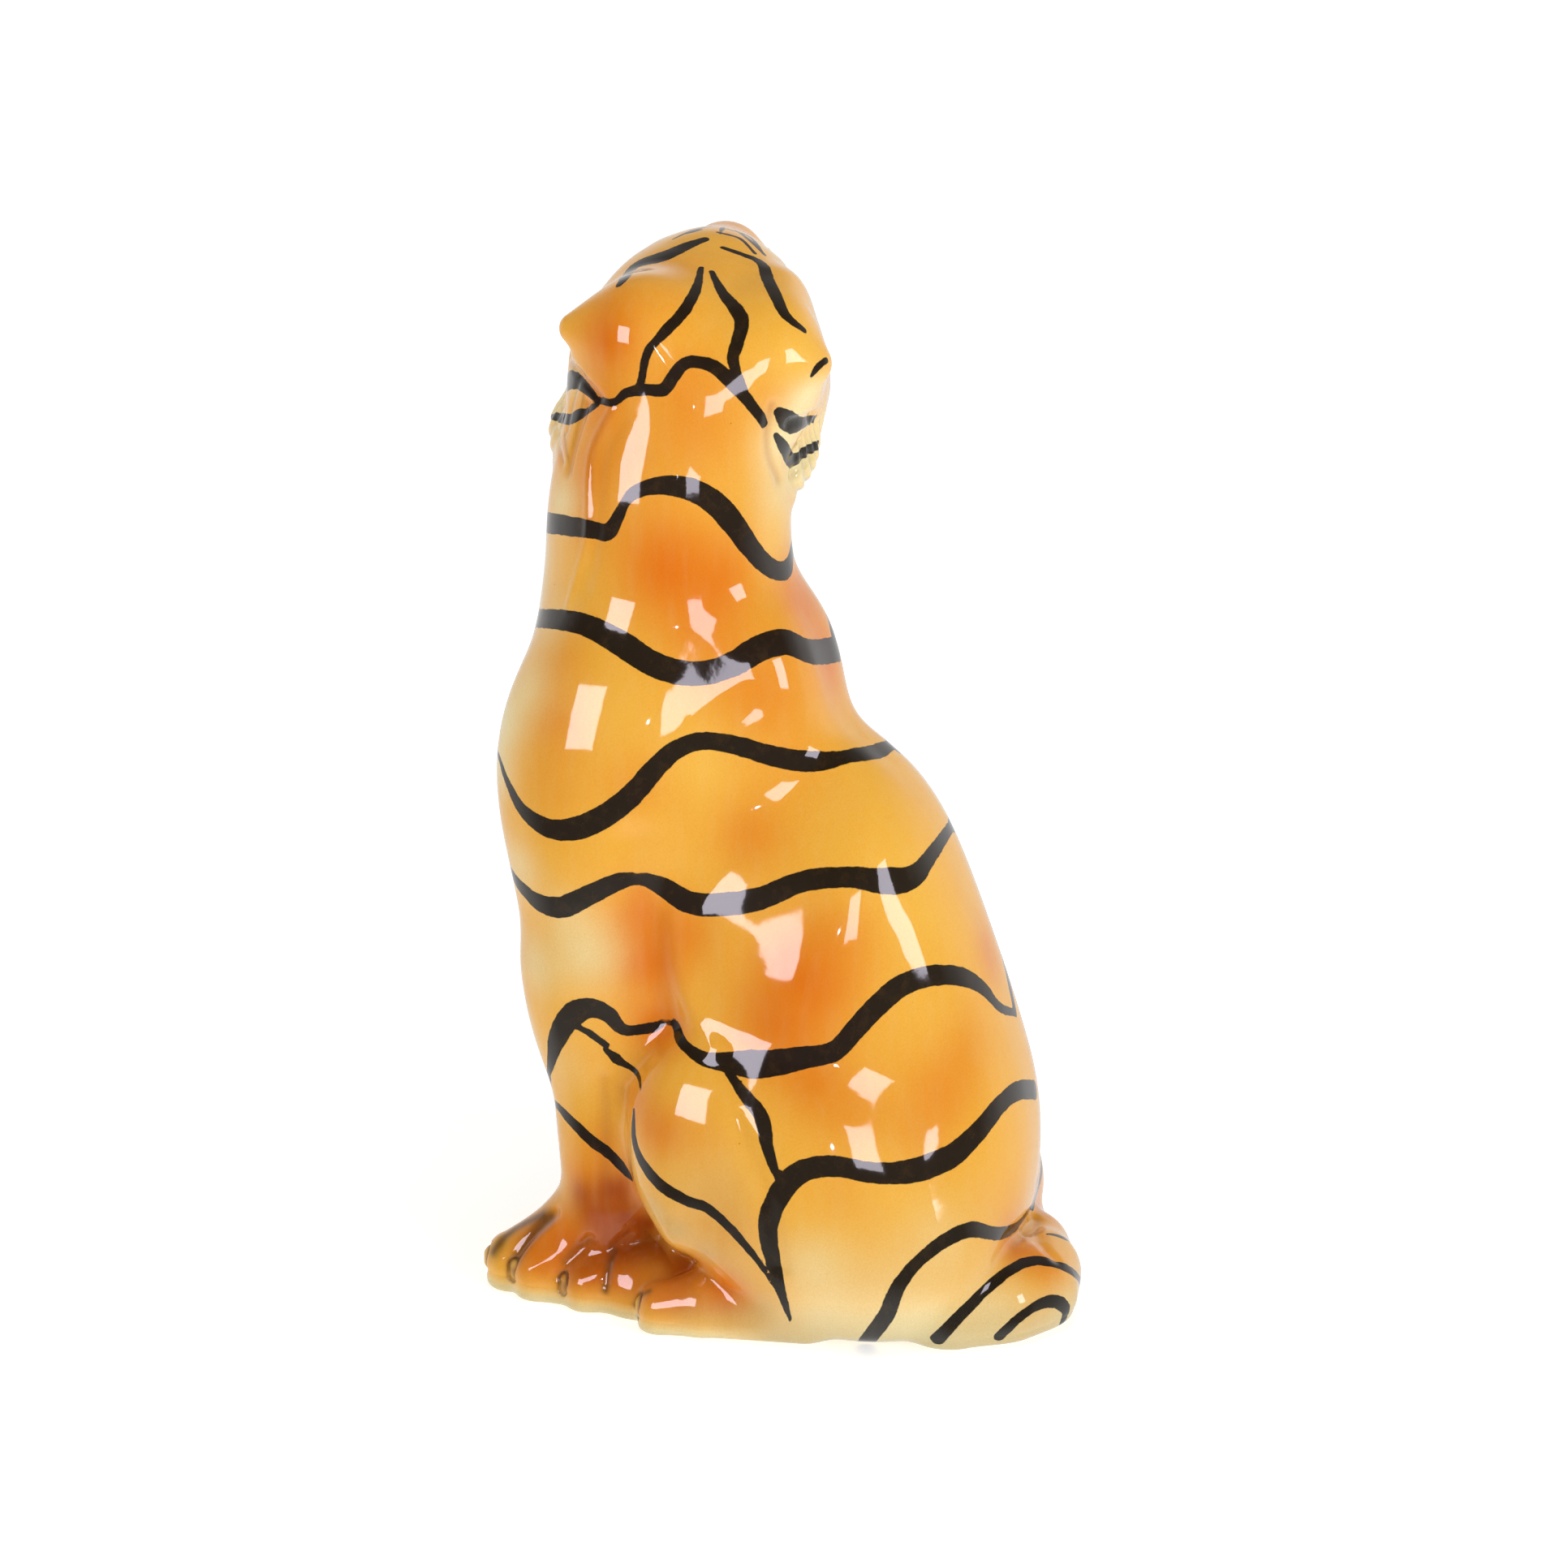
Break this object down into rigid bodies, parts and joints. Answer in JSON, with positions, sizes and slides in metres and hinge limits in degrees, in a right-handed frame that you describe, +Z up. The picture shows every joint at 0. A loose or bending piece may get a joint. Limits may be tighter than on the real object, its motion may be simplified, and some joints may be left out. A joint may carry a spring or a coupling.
{
  "type": "ceramic tiger statue",
  "caption": "Hollow glazed ceramic figure of a sitting tiger with its head turned and raised, hand-painted stripes and a flat base, for standing on a floor, shelf or sideboard.",
  "frame": {"origin": "on the flat base, midway between the haunches", "axes": "+Z up, -Y the way the chest and forepaws face, +X the figure's own left side"},
  "size_m": [0.1881, 0.2442, 0.4316],
  "materials": {
    "body_glaze": "glossy clear glaze over airbrushed orange and brushed black stripes",
    "ear_glaze": "glossy clear glaze over deep orange",
    "paw_glaze": "glossy clear glaze over rust orange with cream soles"
  },
  "bodies": {
    "root": {"torso_casting": "body_glaze", "head_casting": "body_glaze", "left_ear": "ear_glaze", "right_ear": "ear_glaze", "left_foreleg": "body_glaze", "right_foreleg": "body_glaze", "left_hind_foot": "paw_glaze", "right_hind_foot": "paw_glaze", "tail": "body_glaze"}
  },
  "joints": []
}
